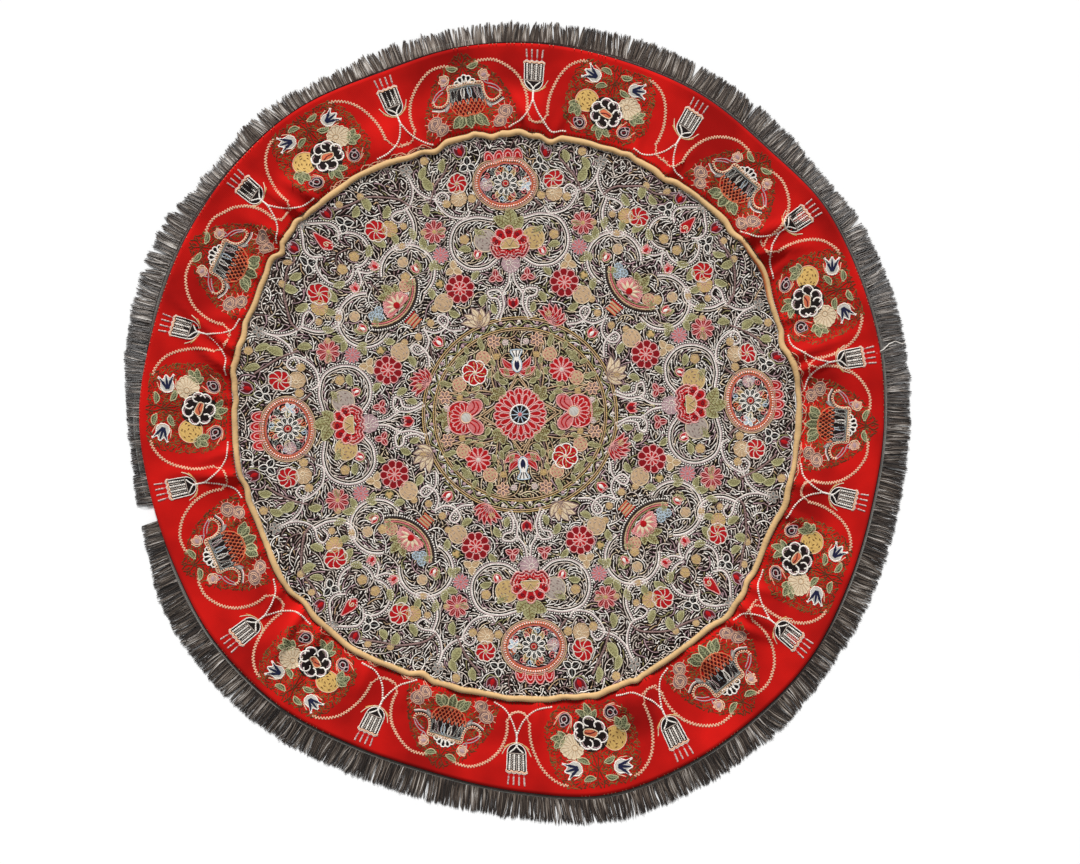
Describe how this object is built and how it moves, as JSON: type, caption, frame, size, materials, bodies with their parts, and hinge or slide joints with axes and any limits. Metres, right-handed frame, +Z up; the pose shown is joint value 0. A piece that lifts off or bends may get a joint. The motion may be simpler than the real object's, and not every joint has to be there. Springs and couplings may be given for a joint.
{
  "type": "embroidered table cover",
  "caption": "Round table cover laid out flat, with an embroidered centre, a corded seam, a rippled red border and a cut fringe, for dressing a round table",
  "frame": {"origin": "the middle of the centre panel's flat underside, on the surface that the cover lies on", "axes": "+Z up out of the embroidered face, +Y towards the top of the centre's pattern, +X to its right"},
  "size_m": [1.3884, 1.4136, 0.0163],
  "materials": {
    "embroidered_centre": "dense chain-stitch embroidery on black wool",
    "ochre_piping": "ochre woollen cloth over a cord",
    "scarlet_wool": "scarlet felted wool with chain-stitch embroidery",
    "grey_braid": "woven dark grey braid",
    "grey_silk": "cut grey-brown silk fringe"
  },
  "bodies": {
    "root": {"centre_panel": "embroidered_centre", "piping": "ochre_piping", "border_panel": "scarlet_wool", "fringe_heading": "grey_braid", "fringe": "grey_silk"}
  },
  "joints": []
}
